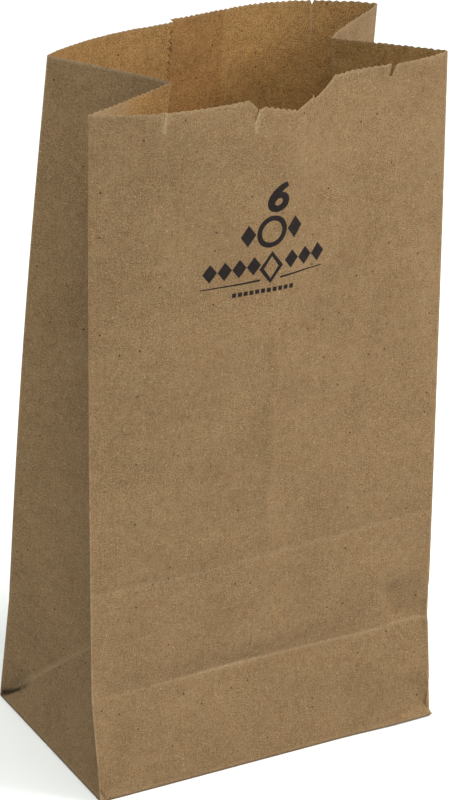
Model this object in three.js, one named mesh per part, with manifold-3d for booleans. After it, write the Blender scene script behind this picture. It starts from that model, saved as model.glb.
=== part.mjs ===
import * as THREE from "three";
import { mergeVertices } from "three/addons/utils/BufferGeometryUtils.js";
import Module from "manifold-3d";

// A size 6 lunch bag, stood open: one sheet of brown kraft paper, folded and glued.
// Millimetres, +Z up, front panel towards -Y, origin at the middle of the base.
// The paper is worked out as one surface through the middle of its thickness, in panels
// between fold lines, and then thickened by half a paper to each side.

// ---- Driving dimensions ----------------------------------------------------

const WIDTH = 152.4; // front and back panels, from fold to fold
const DEPTH = 92.1; // base, front to back
const HEIGHT = 281; // paper from the base to the cut mouth
const PAPER = 0.1; // thickness of the sheet
const HALF_GUSSET = DEPTH / 2; // each side is two of these, folded inwards between them
const CREASE = DEPTH / 2; // height of the fold round the block base

const FLAP = 61; // each bottom flap, from its fold to its cut edge
const FLAP_LAYERS = 2; // papers below the floor, where the front and back flaps lap over each other
const BEND = 3 * PAPER; // the flaps and end flaps stand this far in from the corner of a fold
const BOND = PAPER / 20; // how far one glued layer sinks into the next, so that they join

const TOOTH_PITCH = 2.5; // the mouth is cut by a toothed knife
const TOOTH_DEPTH = 0.5;

const SEAM_INSIDE = 64; // cut edge inside the back panel, from its left fold seen from the front
const SEAM_OUTSIDE = 90; // cut edge outside the back panel, from the same fold
const SEAM_RISE = 1; // how much higher the right-hand end of the sheet was cut

// ---- Where the folds stand -------------------------------------------------

const place = (x, y, z) => new THREE.Vector3(x, y, z);
const SIDE = (WIDTH - PAPER) / 2;
const FRONT = (DEPTH - PAPER) / 2;
const FLOOR = (FLAP_LAYERS + 0.5) * PAPER; // middle of the floor's paper

// The bag was folded flat, so it opens unevenly: its gussets pull in and its mouth twists.
const frontLeft = {
  base: place(-SIDE, -FRONT, FLOOR),
  crease: place(-78.8, -42.2, 43.9),
  mouth: place(-77.9, -31.5, 277.6),
};
const frontRight = {
  base: place(SIDE, -FRONT, FLOOR),
  crease: place(73.1, -43.9, 46.3),
  mouth: place(72.9, -30.7, 281.3),
};
const rightGusset = {
  base: place(SIDE, 0, FLOOR),
  crease: place(62.2, 0.4, 44.4),
  mouth: place(44.4, 5.6, 279.3),
};
const backRight = {
  base: place(SIDE, FRONT, FLOOR),
  crease: place(78.0, 43.7, 45.9),
  mouth: place(81.8, 32.5, 280.6),
};
const backLeft = {
  base: place(-SIDE, FRONT, FLOOR),
  crease: place(-74.0, 42.1, 46.2),
  mouth: place(-67.9, 22.4, 280.6),
};
const leftGusset = {
  base: place(-SIDE, 0, FLOOR),
  crease: place(-57.6, -0.7, 42.4),
  mouth: place(-35.3, -11.7, 277.1),
};

// Outward bow of a panel at the mouth: the height of one, two, three... half waves across it.
const FRONT_BOW = [12.2, 4.2, 1.2, -0.7, 0.9];
const BACK_BOW = [18.6, 3.1, 2.6];

// ---- Cuts in the mouth -----------------------------------------------------

// Each cut is a list of points from left to right: distance along the panel, depth below the mouth.
const slit = (at, width, depth) => [
  [at - width / 2, 0],
  [at, depth],
  [at + width / 2, 0],
];

// The thumb notch: torn at its left end, toothed along its floor, smooth up its right side.
function thumbNotch() {
  const points = [
    [57.5, 0],
    [61.9, 4.3],
    [62.1, 8.4],
    [62.5, 4.2],
  ];
  const floorFrom = 64.1;
  const floorTo = 79.1;
  const floorDepth = 3.9;
  const floorEndDepth = 8.2;
  const teeth = Math.round((floorTo - floorFrom) / TOOTH_PITCH);
  for (let i = 0; i <= 2 * teeth; i++) {
    const t = i / (2 * teeth);
    const depth = THREE.MathUtils.lerp(floorDepth, floorEndDepth, t) - (i % 2) * TOOTH_DEPTH;
    points.push([THREE.MathUtils.lerp(floorFrom, floorTo, t), depth]);
  }
  points.push([80.9, 7.2], [85.9, 5.7], [87.4, 5.5], [88.0, 4.1], [88.7, 6.1]);
  points.push([90.9, 5.5], [93.2, 4.5], [95.4, 3.5], [98.1, 1.8], [100.5, 0]);
  return points;
}

const rightTear = [
  [125.7, 0],
  [125.9, 4.4],
  [127.9, 0],
];
const FRONT_CUTS = [slit(25.1, 0.5, 7), thumbNotch(), rightTear];
const BACK_CUTS = [slit(22.5, 1.5, 1.9)];

// ---- The sheet -------------------------------------------------------------

const ROWS_BELOW = 6; // rows of facets between the base and the crease
const ROWS_ABOVE = 8; // rows of facets between the crease and the cut band
const BAND = 259; // height where the coarse rows give way to the toothed band
const WIDE_COLUMNS = 16;
const GUSSET_COLUMNS = ROWS_BELOW; // the same count, so that the corner folds run along facets

const rowHeights = [];
for (let i = 1; i <= ROWS_BELOW; i++) rowHeights.push((CREASE * i) / ROWS_BELOW);
for (let i = 1; i <= ROWS_ABOVE; i++) {
  rowHeights.push(CREASE + ((BAND - CREASE) * i) / ROWS_ABOVE);
}

// A point on a fold line: straight from the base to the crease, and straight on to the mouth.
function onFold(fold, height) {
  const above = (height - CREASE) / (HEIGHT - CREASE);
  if (above >= 0) return fold.crease.clone().lerp(fold.mouth, above);
  return fold.base.clone().lerp(fold.crease, height / CREASE);
}

// A wide panel spans its two folds and bows outwards, more and more towards the mouth.
// Narrow waves of the bow die out sooner below the mouth than wide ones.
function widePanel(from, to, waves) {
  return (across, height) => {
    const left = onFold(from, height);
    const right = onFold(to, height);
    const above = Math.max(0, (height - CREASE) / (HEIGHT - CREASE));
    let bow = 0;
    waves.forEach((size, i) => {
      bow += size * Math.sin(Math.PI * (i + 1) * across) * above ** (1 + 0.5 * i);
    });
    const outward = place(right.y - left.y, left.x - right.x, 0).normalize();
    return left.lerp(right, across).addScaledVector(outward, bow);
  };
}

// Half a gusset spans its outer fold and the middle fold. Below the crease, a diagonal fold
// from the corner of the base to the middle fold parts it into two flat triangles.
function halfGusset(outer, middle, distance, height) {
  if (height >= CREASE) return onFold(outer, height).lerp(onFold(middle, height), distance);
  const up = height / CREASE;
  const corner = outer.base;
  const diagonal = middle.crease.clone().sub(corner).multiplyScalar(Math.min(distance, up));
  const side = distance > up ? middle.base : outer.crease;
  const rest = side.clone().sub(corner).multiplyScalar(Math.abs(distance - up));
  return corner.clone().add(diagonal).add(rest);
}

// The toothed mouth of a panel, with its cuts and with extra points where a face is stepped.
function mouthEdge(width, cuts, rise, extra) {
  const teeth = Math.round(width / TOOTH_PITCH);
  let points = [];
  for (let i = 0; i <= 2 * teeth; i++) {
    points.push([(width * i) / (2 * teeth), i % 2 ? 0 : TOOTH_DEPTH]);
  }
  const inCut = (s) => cuts.some((cut) => s >= cut[0][0] && s <= cut.at(-1)[0]);
  points = points.filter(([s]) => !inCut(s));
  for (const cut of cuts) points.push(...cut);
  for (const s of extra) if (!inCut(s)) points.push([s, TOOTH_DEPTH / 2]);
  points.sort((a, b) => a[0] - b[0]);
  const apart = points.filter(([s], i) => i === 0 || s - points[i - 1][0] > PAPER / 2);
  return apart.map(([s, depth]) => [s, HEIGHT - depth + rise(s)]);
}

// Where each cut is deepest: a column of facets ends there, so that the paper parts beside it.
const deepest = (cuts) => cuts.map((cut) => cut.reduce((a, b) => (b[1] > a[1] ? b : a))[0]);

// Columns across a panel, with extra ones where a face is stepped or cut.
function columns(count, width, extra) {
  const evenly = Array.from({ length: count + 1 }, (_, i) => (width * i) / count);
  return [...evenly, ...extra].sort((a, b) => a - b);
}

// Reads a broken line through [place, value] points.
function follow(line, s) {
  const i = Math.max(1, line.findIndex(([at]) => s <= at));
  const [a, b] = [line[i - 1], line[i]];
  return THREE.MathUtils.mapLinear(s, a[0], b[0], a[1], b[1]);
}

// Seen along the back panel from its right fold: the right-hand end of the sheet goes inside the
// left-hand one, and they overlap between the two cut edges.
const OUTER_CUT = WIDTH - SEAM_OUTSIDE;
const INNER_CUT = WIDTH - SEAM_INSIDE;
const STEP = 2 * PAPER; // a cut edge is drawn as a step this wide
const SEAM_COLUMNS = [OUTER_CUT, OUTER_CUT + STEP, INNER_CUT - STEP, INNER_CUT];
const backOutside = [
  [0, 0.5],
  [OUTER_CUT, -0.5],
  [OUTER_CUT + STEP, 0.5],
  [WIDTH, 0.5],
];
const backInside = [
  [0, -0.5],
  [OUTER_CUT, -1.5],
  [INNER_CUT - STEP, -1.5],
  [INNER_CUT, -0.5],
  [WIDTH, -0.5],
];
const backRise = (s) => (s < INNER_CUT ? (SEAM_RISE * s) / INNER_CUT : 0);

const flatRise = () => 0;
const plainFaces = { outside: () => 0.5, inside: () => -0.5 };
const gussetEdge = mouthEdge(HALF_GUSSET, [], flatRise, []);

function gussetPanel(from, to, outerFirst) {
  const point = outerFirst
    ? (across, height) => halfGusset(from, to, across, height)
    : (across, height) => halfGusset(to, from, 1 - across, height);
  const cols = columns(GUSSET_COLUMNS, HALF_GUSSET, []);
  return { point, width: HALF_GUSSET, cols, edge: gussetEdge, ...plainFaces, leaning: outerFirst };
}

// The six panels, in order round the bag, anticlockwise seen from above.
const panels = [
  {
    point: widePanel(frontLeft, frontRight, FRONT_BOW),
    width: WIDTH,
    cols: columns(WIDE_COLUMNS, WIDTH, deepest(FRONT_CUTS)),
    edge: mouthEdge(WIDTH, FRONT_CUTS, flatRise, []),
    ...plainFaces,
    leaning: true,
  },
  gussetPanel(frontRight, rightGusset, true),
  gussetPanel(rightGusset, backRight, false),
  {
    point: widePanel(backRight, backLeft, BACK_BOW),
    width: WIDTH,
    cols: columns(WIDE_COLUMNS, WIDTH, [...SEAM_COLUMNS, ...deepest(BACK_CUTS)]),
    edge: mouthEdge(WIDTH, BACK_CUTS, backRise, SEAM_COLUMNS),
    outside: (s) => follow(backOutside, s),
    inside: (s) => follow(backInside, s),
    leaning: true,
  },
  gussetPanel(backLeft, leftGusset, true),
  gussetPanel(leftGusset, frontLeft, false),
];

// Fills the strip between two rows of points, each a list of [distance along, point number].
function strip(lower, upper) {
  const triangles = [];
  let i = 0;
  let k = 0;
  while (i + 1 < lower.length || k + 1 < upper.length) {
    const nextLower = i + 1 < lower.length ? lower[i + 1][0] : Infinity;
    const nextUpper = k + 1 < upper.length ? upper[k + 1][0] : Infinity;
    if (nextLower <= nextUpper) triangles.push([lower[i][1], lower[++i][1], upper[k][1]]);
    else triangles.push([lower[i][1], upper[k + 1][1], upper[k++][1]]);
  }
  return triangles;
}

// Collects the sheet: middle points, the place of each face there in papers, and triangles.
function buildSheet() {
  const middle = [];
  const outside = [];
  const inside = [];
  const triangles = [];
  const known = new Map();
  const base = [];
  const mouth = [];

  function add(p, out, within) {
    const key = p.toArray().map((c) => c.toFixed(3)).join();
    if (!known.has(key)) {
      known.set(key, middle.length);
      middle.push(p);
      outside.push(out);
      inside.push(within);
    }
    return known.get(key);
  }

  for (const panel of panels) {
    const addAt = (s, height) => [
      s,
      add(panel.point(s / panel.width, height), panel.outside(s), panel.inside(s)),
    ];
    const fold = [0, panel.width].map((s) => addAt(s, 0));
    const grid = rowHeights.map((h) => panel.cols.map((s) => addAt(s, h)));
    const edge = panel.edge.map(([s, height]) => addAt(s, height));
    triangles.push(...strip(fold, grid[0]), ...strip(grid.at(-1), edge));
    for (let j = 0; j + 1 < grid.length; j++) {
      for (let i = 0; i + 1 < panel.cols.length; i++) {
        const [a, b] = [grid[j][i][1], grid[j][i + 1][1]];
        const [d, c] = [grid[j + 1][i][1], grid[j + 1][i + 1][1]];
        if (panel.leaning) triangles.push([a, b, c], [a, c, d]);
        else triangles.push([a, b, d], [b, c, d]);
      }
    }
    base.push(fold[0][1]);
    mouth.push(...edge.slice(0, -1).map(([, point]) => point));
  }
  const centre = add(place(0, 0, FLOOR), 0.5, -0.5);
  base.forEach((a, i) => triangles.push([centre, base[(i + 1) % base.length], a]));
  return { middle, outside, inside, triangles, mouth };
}

// For each middle point, the vector that leads one millimetre off every facet that meets there:
// the least-squares answer m to m . n = 1 over the facets' normals n, weighed by their areas.
function standOff(points, triangles) {
  const sums = points.map(() => ({ m: new Array(9).fill(0), v: place(0, 0, 0) }));
  const steady = 1e-4; // keeps the answer on the normal where all the facets are level
  for (const corners of triangles) {
    const [a, b, c] = corners.map((i) => points[i]);
    const normal = b.clone().sub(a).cross(c.clone().sub(a));
    const area = normal.length() / 2;
    const n = normal.normalize().toArray();
    for (const i of corners) {
      n.forEach((x, r) => n.forEach((y, q) => (sums[i].m[3 * r + q] += area * x * y)));
      sums[i].v.addScaledVector(normal, area);
    }
  }
  return sums.map(({ m, v }) => {
    for (const k of [0, 4, 8]) m[k] += steady;
    return v.applyMatrix3(new THREE.Matrix3(...m).invert());
  });
}

// Closes the sheet into a solid: its outer face, its inner face and the cut mouth between them.
function thicken({ middle, outside, inside, triangles, mouth }) {
  const off = standOff(middle, triangles);
  const count = middle.length;
  const positions = [];
  for (const faces of [outside, inside]) {
    middle.forEach((p, i) => {
      positions.push(...p.clone().addScaledVector(off[i], faces[i] * PAPER).toArray());
    });
  }
  const index = [];
  for (const [a, b, c] of triangles) index.push(a, b, c, a + count, c + count, b + count);
  mouth.forEach((a, i) => {
    const b = mouth[(i + 1) % mouth.length];
    index.push(a, b, a + count, b, b + count, a + count);
  });
  const geometry = new THREE.BufferGeometry();
  geometry.setAttribute("position", new THREE.Float32BufferAttribute(positions, 3));
  geometry.setIndex(index);
  return geometry;
}

// ---- The bottom flaps ------------------------------------------------------

// A flat outline in the base, raised from one level to another.
function layer(outline, low, high) {
  const shape = new THREE.Shape(outline.map(([x, y]) => new THREE.Vector2(x, y)));
  const geometry = new THREE.ExtrudeGeometry(shape, { depth: high - low, bevelEnabled: false });
  return geometry.translate(0, 0, low);
}

// Two end flaps lie on the floor, inside. Under it lie the front flap and, lowest, the back flap:
// they narrow at 45 degrees from the corners of the base and lap over each other.
function bottomLayers() {
  const side = SIDE - BEND;
  const front = FRONT - BEND;
  const inner = SIDE - FLAP;
  const reach = FLAP - FRONT;
  const under = FLOOR - PAPER / 2 + BOND;
  const above = FLOOR + PAPER / 2 - BOND;
  const flap = (face) => [
    [-side, face * front],
    [side, face * front],
    [inner, -face * reach],
    [-inner, -face * reach],
  ];
  const endFlap = (hand) => [
    [hand * inner, -front],
    [hand * side, -front],
    [hand * side, front],
    [hand * inner, front],
  ];
  return [
    layer(flap(1), 0, under),
    layer(flap(-1), PAPER, under),
    layer(endFlap(-1), above, above + PAPER),
    layer(endFlap(1), above, above + PAPER),
  ];
}

// ---- Joining ---------------------------------------------------------------

const wasm = await Module();
wasm.setup();

function toSolid(geometry) {
  geometry.deleteAttribute("normal");
  geometry.deleteAttribute("uv");
  const merged = mergeVertices(geometry, 1e-4);
  return new wasm.Manifold(
    new wasm.Mesh({
      numProp: 3,
      vertProperties: merged.attributes.position.array,
      triVerts: new Uint32Array(merged.index.array),
    }),
  );
}

function toGeometry(solid) {
  const { numProp, numVert, vertProperties, triVerts } = solid.getMesh();
  const positions = new Float32Array(3 * numVert);
  for (let i = 0; i < numVert; i++) {
    positions.set(vertProperties.subarray(i * numProp, i * numProp + 3), 3 * i);
  }
  const geometry = new THREE.BufferGeometry();
  geometry.setAttribute("position", new THREE.BufferAttribute(positions, 3));
  geometry.setIndex(new THREE.BufferAttribute(triVerts, 1));
  geometry.computeVertexNormals();
  return geometry;
}

let bag = toSolid(thicken(buildSheet()));
for (const geometry of bottomLayers()) bag = bag.add(toSolid(geometry));

const kraftPaper = new THREE.MeshStandardMaterial({
  color: 0x9a8159,
  roughness: 0.92,
  metalness: 0,
});
const paperBag = new THREE.Mesh(toGeometry(bag), kraftPaper);
paperBag.name = "paper_bag";

const lunchBag = new THREE.Group();
lunchBag.add(paperBag);
export default lunchBag;
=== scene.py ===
"""A number 6 lunch bag: one folded sheet of brown kraft paper, stood open, with its print."""

import math

import bpy
import numpy as np
from mathutils import Matrix


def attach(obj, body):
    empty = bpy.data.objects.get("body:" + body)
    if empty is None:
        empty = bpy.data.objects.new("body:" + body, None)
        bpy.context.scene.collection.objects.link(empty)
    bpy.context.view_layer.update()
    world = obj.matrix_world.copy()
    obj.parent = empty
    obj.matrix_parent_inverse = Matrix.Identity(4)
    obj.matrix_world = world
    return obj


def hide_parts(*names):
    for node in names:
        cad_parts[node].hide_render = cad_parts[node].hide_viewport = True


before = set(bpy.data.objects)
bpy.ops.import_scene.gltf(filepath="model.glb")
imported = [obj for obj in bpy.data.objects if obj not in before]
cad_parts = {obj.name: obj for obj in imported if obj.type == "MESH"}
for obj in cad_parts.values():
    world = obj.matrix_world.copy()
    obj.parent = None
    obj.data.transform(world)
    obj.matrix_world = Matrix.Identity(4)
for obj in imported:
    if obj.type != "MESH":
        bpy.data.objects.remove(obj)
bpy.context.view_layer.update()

MM = 0.001  # shapes are worked out in millimetres and put into meshes in metres

# ---- The sheet's sizes -------------------------------------------------------

WIDTH = 152.4  # front and back panels, from fold to fold
DEPTH = 92.1  # base, front to back
HEIGHT = 281.0  # paper from the base to the cut mouth
PAPER = 0.1
HALF = DEPTH / 2  # each side is two half gussets
CREASE = DEPTH / 2  # height of the fold round the block base
FLAP = 61.0
SIDE = (WIDTH - PAPER) / 2
FRONT = (DEPTH - PAPER) / 2
FLOOR = 0.32  # middle of the paper where the walls turn in under the base
SECOND_CREASE = 90.8  # height of the faint crease above the first, at a panel's first fold
SECOND_SLOPE = 0.012  # how far it climbs for each millimetre across the panel

TOOTH_DEPTH = 0.5  # of the knife that cut the mouth
WIDE_TEETH = 61  # across the front or the back
HALF_TEETH = 18  # across a half gusset
SEAM_INSIDE = 64.0  # cut edge inside the back panel, from its left fold
SEAM_OUTSIDE = 90.0  # cut edge outside the back panel, from the same fold
SEAM_RISE = 1.4  # how far the mouth's inner end stands above its outer end

SLIT_AT = 25.1  # places of the cuts in the mouth, from the panel's first fold
NOTCH_TEAR_AT = 62.1
RIGHT_TEAR_AT = 125.8
BACK_SLIT_AT = 22.5

# Distance round the bag, anticlockwise from above, starts at the front left fold.
PANELS = np.array([WIDTH, HALF, HALF, WIDTH, HALF, HALF])
FRONT_PANEL, BACK_PANEL = 0, 3
FOLD_AT = np.concatenate([[0.0], np.cumsum(PANELS)])
ROUND = FOLD_AT[-1]
TEETH = np.array([WIDE_TEETH, HALF_TEETH, HALF_TEETH] * 2)
TOOTH_AT = np.concatenate([[0], np.cumsum(TEETH)])
BACK_AT = FOLD_AT[BACK_PANEL]
SHEET_FROM = FOLD_AT[4] - SEAM_OUTSIDE  # the cut end that lies outside
SHEET_TO = FOLD_AT[4] - SEAM_INSIDE + ROUND  # the cut end that lies inside

# Each fold line's places at the base, at the crease and at the mouth.
FOLDS = np.array(
    [
        [(-SIDE, -FRONT, FLOOR), (-78.8, -42.2, 43.9), (-78.7, -31.5, 277.1)],
        [(SIDE, -FRONT, FLOOR), (73.1, -43.9, 46.3), (73.3, -30.7, 281.6)],
        [(SIDE, 0, FLOOR), (62.2, 0.4, 44.4), (43.8, 5.6, 279.8)],
        [(SIDE, FRONT, FLOOR), (78.0, 43.7, 45.9), (81.5, 32.5, 281.6)],
        [(-SIDE, FRONT, FLOOR), (-74.0, 42.1, 46.2), (-68.3, 22.4, 282.0)],
        [(-SIDE, 0, FLOOR), (-57.6, -0.7, 42.4), (-34.2, -11.7, 277.6)],
        [(-SIDE, -FRONT, FLOOR), (-78.8, -42.2, 43.9), (-78.7, -31.5, 277.1)],
    ]
)
# How far each fold line bellies out between the crease and the mouth.
BELLY = np.array(
    [(-0.5, 0, 0), (0.4, 0, 0), (0, 0, 0), (0.6, 0.4, 0), (-1.4, 0.6, 0), (0, 0, 0), (-0.5, 0, 0)]
)
# Outward bow of each panel at the mouth, in one, two, three... half waves across it.
BOWS = np.zeros((6, 5))
BOWS[FRONT_PANEL] = [12.2, 4.2, 1.2, -0.7, 0.9]
BOWS[BACK_PANEL, :3] = [18.6, 3.1, 2.6]

FOLD_RADIUS = 0.45
TUCK_DEPTH = 1.6  # the tuck beside the back left corner of the base
TUCK_SAG = 2.9


def on_fold(fold, v):
    """Point of a fold line at height v: straight from base to crease and from crease to mouth,
    plus a half sine wave of its belly. Below zero it runs inwards under the base."""
    base, crease, mouth = FOLDS[fold, 0], FOLDS[fold, 1], FOLDS[fold, 2]
    low = np.clip(v / CREASE, 0, 1)[:, None]
    high = np.maximum((v - CREASE) / (HEIGHT - CREASE), 0)[:, None]
    point = base + (crease - base) * low + (mouth - crease) * high
    point += BELLY[fold] * np.sin(np.pi * np.clip(high, 0, 1))
    point[:, :2] += np.sign(base[:, :2]) * np.minimum(v, 0)[:, None]
    return point


def sharp_sheet(s, v):
    """Middle of the paper at distance s round the bag and height v: each panel spans its two
    folds in straight lines, and a wide panel adds sine waves outwards that grow with height.
    A half gusset below the crease is two flat triangles either side of its diagonal."""
    s = np.mod(s, ROUND)
    panel = np.clip(np.searchsorted(FOLD_AT, s, side="right") - 1, 0, 5)
    t = (s - FOLD_AT[panel]) / PANELS[panel]
    left, right = on_fold(panel, v), on_fold(panel + 1, v)
    point = left + (right - left) * t[:, None]

    outward = np.stack([right[:, 1] - left[:, 1], left[:, 0] - right[:, 0], 0 * t], 1)
    outward /= np.linalg.norm(outward, axis=1)[:, None]
    high = np.maximum((v - CREASE) / (HEIGHT - CREASE), 0)
    wave = np.arange(5)
    waves = np.sin(np.pi * (wave + 1) * t[:, None]) * high[:, None] ** (1 + 0.5 * wave)
    point += outward * (BOWS[panel] * waves).sum(1)[:, None]

    low = (v >= 0) & (v < CREASE) & (panel != FRONT_PANEL) & (panel != BACK_PANEL)
    front_first = np.isin(panel, (1, 4))
    outer = np.where(front_first, panel, panel + 1)[low]
    middle = np.where(front_first, panel + 1, panel)[low]
    across = np.where(front_first, t, 1 - t)[low]
    up = v[low] / CREASE
    corner = FOLDS[outer, 0]
    diagonal = (FOLDS[middle, 1] - corner) * np.minimum(across, up)[:, None]
    over = (across > up)[:, None]
    rest = np.where(over, FOLDS[middle, 0], FOLDS[outer, 1]) - corner
    point[low] = corner + diagonal + rest * np.abs(across - up)[:, None]
    return point


def soft_sheet(s, v):
    """The sharp sheet averaged over a small square window, which rounds every fold."""
    steps = FOLD_RADIUS * np.array([-1, -0.5, 0, 0.5, 1])
    weights = np.array([1, 2, 3, 2, 1]) / 9
    total = 0
    for ds, weight in zip(steps, weights):
        for dv, other in zip(steps, weights):
            total = total + weight * other * sharp_sheet(s + ds, v + dv)
    return total


def outward_of(s, v):
    """Unit normal of the soft sheet, from differences a tenth of a millimetre apart."""
    step = 0.1
    along = soft_sheet(s + step, v) - soft_sheet(s - step, v)
    upward = soft_sheet(s, v + step) - soft_sheet(s, v - step)
    normal = np.cross(along, upward)
    return normal / np.linalg.norm(normal, axis=1)[:, None]


# ---- Relief: creases, ridges, cockles and curled cuts ------------------------


def bell(x, width):
    """A smooth bump one high and about 2.5 widths across."""
    return np.exp(-((x / width) ** 2))


def ramp(x, start, end):
    """Rises smoothly from nought at start to one at end."""
    t = np.clip((x - start) / (end - start), 0, 1)
    return t * t * (3 - 2 * t)


def fade(x, start, end):
    """Falls smoothly from one at start to nought at end."""
    return ramp(-x, -end, -start)


def fold_gap(s):
    """Distance to the nearest fold line."""
    return np.abs(s[:, None] - FOLD_AT).min(1)


def cockle(s, v, seed, count, shortest, longest):
    """Waves of dried paper: plane sine waves of random length, direction and phase that close
    up round the bag, added up and divided by the root of their count."""
    random = np.random.default_rng(seed)
    total = np.zeros_like(s)
    for _ in range(count):
        length = random.uniform(shortest, longest)
        turn = random.uniform(0, np.pi)
        round_it = np.round(ROUND / length * np.cos(turn)) / ROUND
        phase = random.uniform(0, 2 * np.pi)
        total += np.sin(2 * np.pi * (round_it * s + np.sin(turn) * v / length) + phase)
    return total / math.sqrt(count)


def uneven(number, seed):
    """A repeatable number between nought and one for each whole number."""
    return np.mod(np.sin(number * 12.9898 + seed) * 43758.5453, 1)


def valley(s, v, low, high, left, right, depth):
    """A shallow fold along the line from low to high: deepest on the line, it comes back to
    nought in a straight slope at left and at right of it, and fades out past its ends."""
    (s0, v0), (s1, v1) = low, high
    along = (v - v0) / (v1 - v0)
    off = s - (s0 + (s1 - s0) * np.clip(along, 0, 1))
    slope = np.clip(1 - np.where(off < 0, -off / left, off / right), 0, 1)
    return -depth * slope * ramp(along, -0.25, 0.2) * fade(along, 0.75, 1.3)


def tuck(s, v):
    """Places beside the tuck at the back left corner of the base: distance above its slot,
    distance along it, and whether they are on the half gusset that has it. The slot leaves the
    corner along the diagonal and sags below it by an amount that grows and then levels out."""
    across = (np.mod(s, ROUND) - FOLD_AT[4]) / HALF
    along = (v / CREASE + across) * HALF / math.sqrt(2)
    above = (v / CREASE - across) * HALF / math.sqrt(2)
    sag = TUCK_SAG * (1 - np.exp(-np.maximum(along, 0) / 11))
    return above + sag, along, (across > 0) & (across < 1)


def tuck_dip(s, v):
    """The paper sinks into the slot slowly from above and at once from below."""
    off, along, there = tuck(s, v)
    side = np.where(off > 0, np.exp(-np.abs(off) / 3.0), np.exp(-np.abs(off) / 0.4))
    return there * side * ramp(along, 0, 1.5) * fade(along, 15, 22)


def tuck_shade(s, v):
    """Dark in the slot, which narrows away from the corner, and dim for a little above it."""
    off, along, there = tuck(s, v)
    wide = 0.4 + 1.1 * np.clip(1 - along / 20, 0, 1)
    slot = bell(off - 0.8, wide) * ramp(along, -0.5, 0.5) * fade(along, 16, 22)
    dim = 0.5 * np.exp(-np.maximum(off, 0) / 3.5) * (off > 0) * fade(along, 17, 24)
    return there * np.maximum(slot, dim)


def above_second(s, v):
    """Height above the second crease, a straight line that climbs slowly across a panel."""
    return v - SECOND_CREASE - SECOND_SLOPE * s


def creases(s, v):
    """The two creases across the front and the back: valleys with straight sides. The first
    is deepest left of the panel's middle and a little deeper again at its far end."""
    bend = 0.8 + 1.5 * bell(s - 72, 42) + 0.4 * ramp(s, 130, 142)
    side = np.where(v < CREASE, (CREASE - v) / 16, (v - CREASE) / 9)
    second = np.abs(above_second(s, v)) / 3.5
    return -bend * np.clip(1 - side, 0, 1) - 0.6 * np.clip(1 - second, 0, 1)


def front_dents(s, v):
    """The front's own marks: a wavy ridge with a soft one above it, two faint slanting ones, a
    twisted strip beside each lower corner, a dent at the right end of the crease, a flared foot
    towards the right and a mouth that leans back right of the notch."""
    wavy = s - 74.0 - 0.9 * np.sin(v / 6.5) - 0.5 * np.sin(v / 2.9)
    height = 0.8 * (bell(wavy, 1.8) + 1.2 * bell(wavy, 7))
    height = height * ramp(v, 96, 112) * fade(v, 150, 215)
    height += 1.3 * bell(s - 79, 9) * ramp(v, 190, 250)
    for place, size in ((106, 1.0), (121, 0.8)):
        lean = s - place - 0.3 * (v - 165)
        height += size * bell(lean, 4) * ramp(v, 130, 160) * fade(v, 180, 225)
    height += valley(s, v, (5.0, 3), (10.5, 34), 9, 8, 1.7)
    height += valley(s, v, (151.0, 3), (143.0, 19), 14, 9, 2.0)
    height += valley(s, v, (137.8, 47), (133.5, 63), 4, 19, 4.6)
    foot = 0.4 + 4.2 * np.clip((s - 105) / 46, 0, 1)
    height += 1.4 * np.clip(1 - v / foot, 0, 1) * ramp(s, 105, 135)
    height -= 2.6 * bell(s - 112, 18) * ramp(v, 264, 282)
    return height


def relief(s, v):
    """Height of the paper off the plain panels, in millimetres: slow and fine cockles, the
    creases of the front and the back, the front's marks and the tuck. None under the base."""
    s = np.mod(s, ROUND)
    front = (s < WIDTH).astype(float)
    wide = front + ((s > BACK_AT) & (s < BACK_AT + WIDTH))
    across = np.where(s < WIDTH, s, s - BACK_AT)
    height = 0.42 * ramp(fold_gap(s), 0, 9) * ramp(v, 3, 20) * cockle(s, v, 3, 12, 34, 90)
    height += 0.05 * ramp(fold_gap(s), 0, 5) * ramp(v, 1, 8) * cockle(s, v, 8, 16, 9, 18)
    height += wide * creases(across, v) * ramp(fold_gap(s), 0, 4)
    height += front * front_dents(s, v) - TUCK_DEPTH * tuck_dip(s, v)
    return height * ramp(v, -0.1, 0.7)


def lip(s, v):
    """How far the paper beside each cut in the front of the mouth curls: outwards right of the
    cut, and a little inwards left of the first two."""
    s = np.mod(s, ROUND)
    slit_off, tear_off, right_off = s - SLIT_AT, s - NOTCH_TEAR_AT, s - RIGHT_TEAR_AT
    left = np.where(slit_off > 0, bell(slit_off, 2.2), -0.4 * bell(slit_off, 1.5))
    tear = np.where(tear_off > 0, bell(tear_off, 2.4), -0.6 * bell(tear_off, 2.0))
    right = np.where(right_off > 0, bell(right_off, 2.4), 0)
    curl = 0.12 * left * ramp(v, 271, 279) + 0.25 * tear * ramp(v, 268, 276)
    return curl + 0.5 * right * ramp(v, 275, 281)


# ---- Cuts in the mouth -------------------------------------------------------

NOTCH_TEETH = 6
NOTCH_FLOOR = (64.1, 79.1, 3.9, 8.2)  # from, to, depth at each end


def notch_points():
    """The thumb notch, as a broken line of places and depths: torn at its left end, toothed
    along its floor, smooth up its right side."""
    start, end, shallow, deep = NOTCH_FLOOR
    t = np.linspace(0, 1, 2 * NOTCH_TEETH + 1)
    tooth = 1.4 * TOOTH_DEPTH * (np.arange(len(t)) % 2)
    floor = np.stack([start + (end - start) * t, shallow + (deep - shallow) * t - tooth], 1)
    torn = [(57.5, 0), (59.0, 1.1), (60.5, 2.7), (61.9, 4.3), (62.1, 8.4), (62.25, 4.2)]
    spike = [(80.9, 7.2), (83.4, 6.5), (85.9, 5.7), (87.4, 5.5), (88.0, 4.1), (88.7, 6.1)]
    rise = [(90.9, 5.5), (93.2, 4.5), (95.4, 3.5), (98.1, 1.8), (100.5, 0)]
    return np.array([*torn, *floor, *spike, *rise])


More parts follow.
